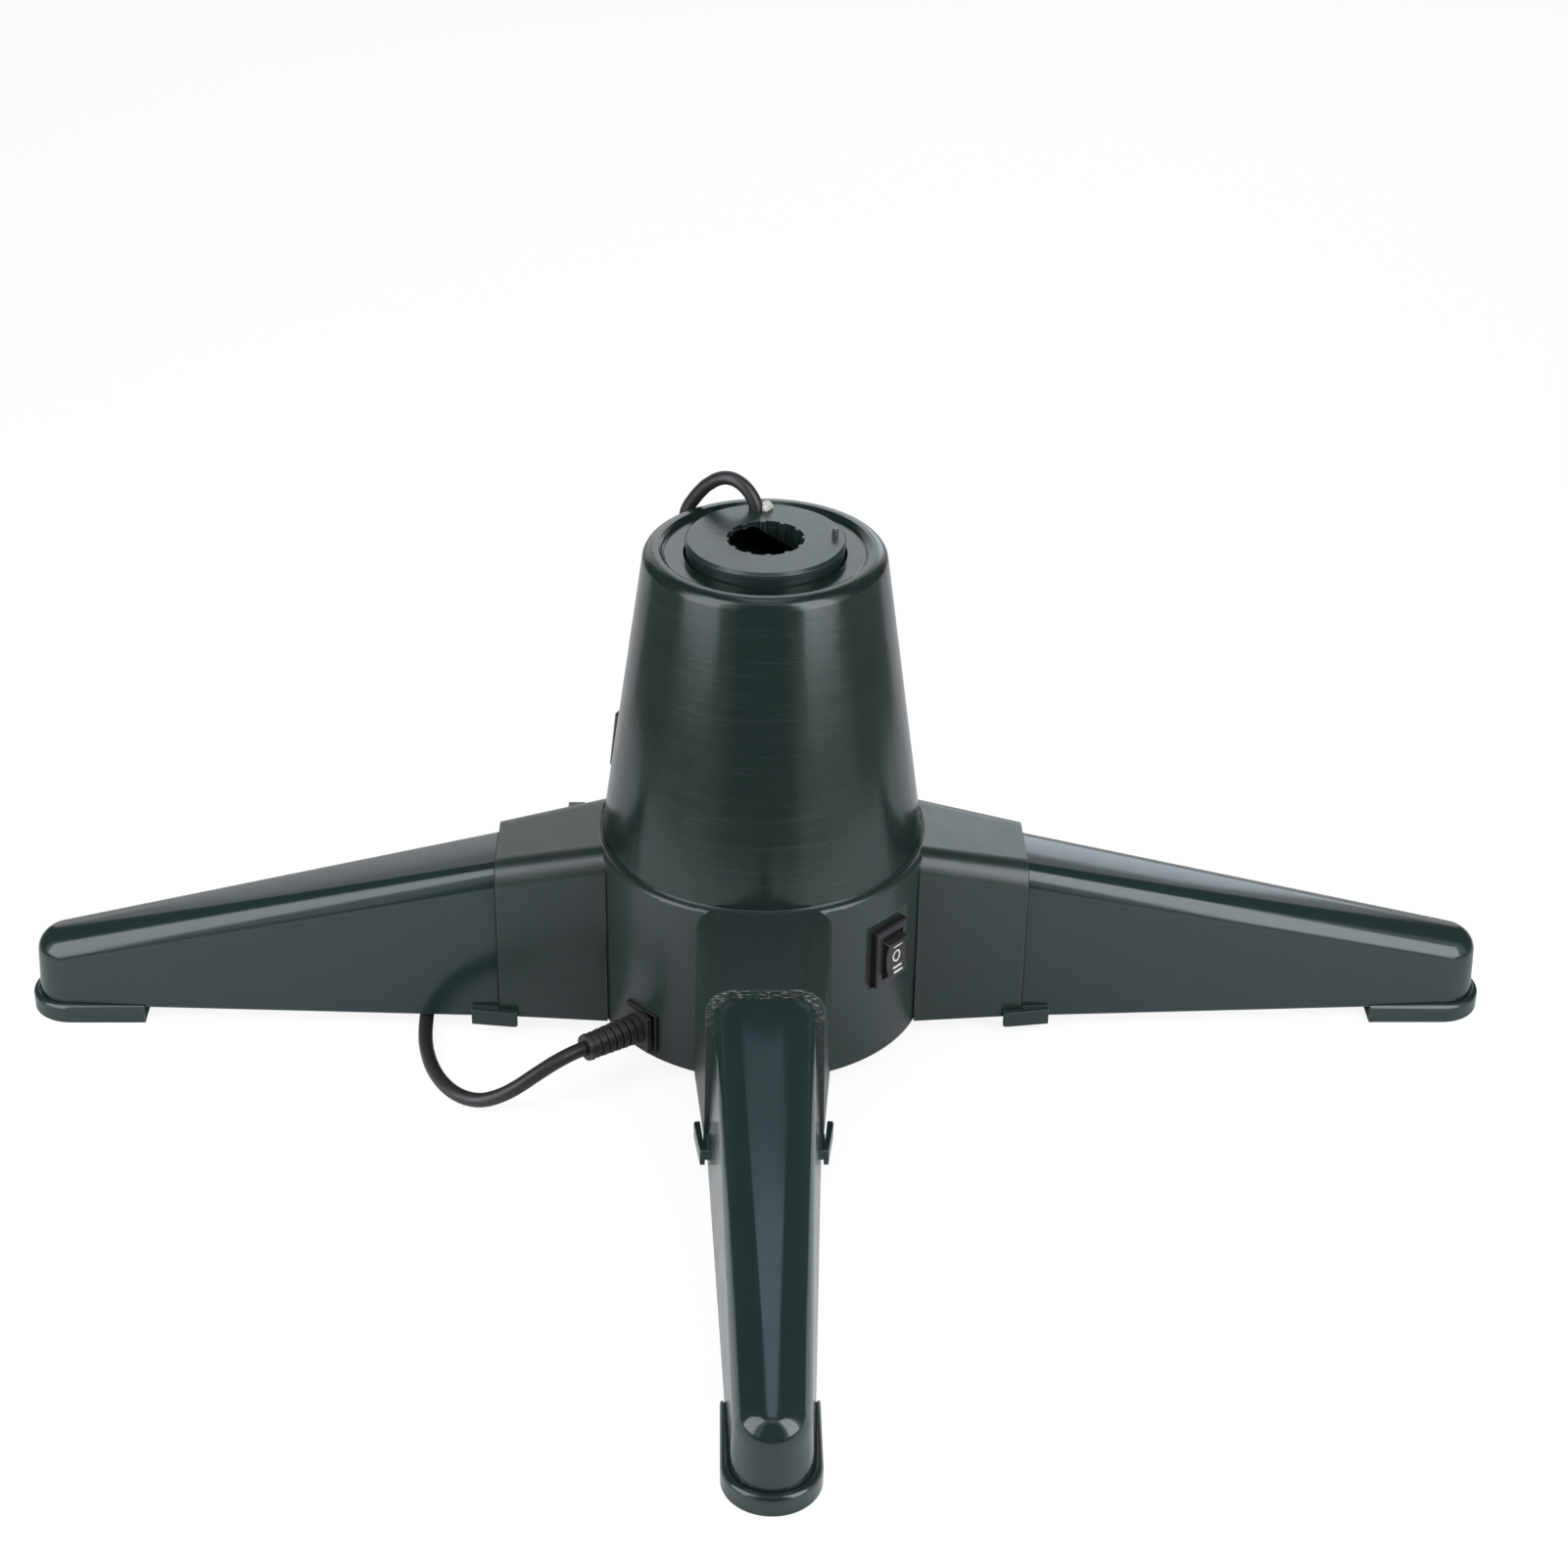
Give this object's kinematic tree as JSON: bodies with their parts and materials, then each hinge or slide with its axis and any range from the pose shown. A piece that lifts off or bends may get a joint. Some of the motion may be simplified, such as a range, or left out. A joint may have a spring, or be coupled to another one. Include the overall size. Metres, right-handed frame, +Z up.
{
  "type": "rotating christmas tree stand",
  "caption": "Motorised stand for an artificial tree: a hub drum with radial clip-on legs, a cone cover, and a slowly turning disc with a splined pole socket and its own lamp outlet.",
  "frame": {"origin": "on the floor, under the turntable's axis, midway between the tips of opposite legs", "axes": "+Z up along the turntable's axis; +X along the right leg, -Y along the front leg, towards the viewer of the picture"},
  "size_m": [0.495, 0.495, 0.1864],
  "materials": {
    "hub_green": "satin dark green moulding, faint grain",
    "cover_green": "semi-gloss dark green moulding",
    "leg_green": "glossy dark blue-green moulding",
    "disc_green": "satin dark green moulding",
    "switch_black": "semi-gloss black, slightly purple",
    "cord_black": "satin black vinyl",
    "inner_black": "matt black moulding",
    "gear_white": "natural white acetal",
    "steel": "bright plated steel",
    "brass": "plain brass",
    "carbon": "dull grey carbon",
    "sealant": "dried clear-white sealant"
  },
  "bodies": {
    "base": {"hub_housing": "hub_green", "base_plate": "hub_green", "cone_cover": "cover_green", "leg_front": "leg_green", "leg_right": "leg_green", "leg_back": "leg_green", "leg_left": "leg_green", "foot_front": "leg_green", "foot_right": "leg_green", "foot_back": "leg_green", "foot_left": "leg_green", "bearing_deck": "inner_black", "lower_race": "steel", "top_bush": "gear_white", "motor_can": "steel", "motor_gearbox": "brass", "motor_screws": "steel", "motor_nuts": "steel", "brush_holder": "inner_black", "carbon_brushes": "carbon", "brush_springs": "steel", "brush_screws": "steel", "deck_screws": "steel", "base_screws": "steel", "switch_housing": "switch_black", "switch_terminals": "brass", "strain_relief": "cord_black", "relief_nut": "inner_black", "power_cord": "cord_black", "power_cord_coil": "cord_black", "coil_tie": "inner_black", "power_plug": "cord_black", "plug_blades": "brass"},
    "rotor": {"turntable": "disc_green", "index_pin": "steel", "cord_seal": "sealant", "drive_gear": "gear_white", "gear_screws": "steel", "upper_race": "steel", "slip_ring_sleeve": "inner_black", "slip_rings": "brass", "outlet_cord": "cord_black", "outlet_socket": "cord_black", "outlet_contacts": "brass"},
    "ball_cage": {"ball_cage": "brass", "bearing_balls": "steel"},
    "pinion": {"motor_pinion": "gear_white", "motor_shaft": "steel"},
    "rocker": {"switch_rocker": "switch_black"}
  },
  "joints": [
    {"name": "turntable_spin", "type": "hinge", "parent": "base", "child": "rotor", "pos_m": [0, 0, 0.1], "axis": [0, 0, 1], "continuous": true},
    {"name": "cage_spin", "type": "hinge", "parent": "base", "child": "ball_cage", "pos_m": [0, 0, 0.0381], "axis": [0, 0, 1], "continuous": true},
    {"name": "pinion_spin", "type": "hinge", "parent": "base", "child": "pinion", "pos_m": [0, 0.0384, 0.044], "axis": [0, 0, 1], "continuous": true},
    {"name": "switch_rock", "type": "hinge", "parent": "base", "child": "rocker", "pos_m": [0.03858, -0.0356, 0.0448], "axis": [0.6782, 0.7349, 0], "range_deg": [-9, 9]}
  ],
  "couplings": [
    {"joint": "cage_spin", "follows": "turntable_spin", "ratio": 0.5},
    {"joint": "pinion_spin", "follows": "turntable_spin", "ratio": -3}
  ]
}
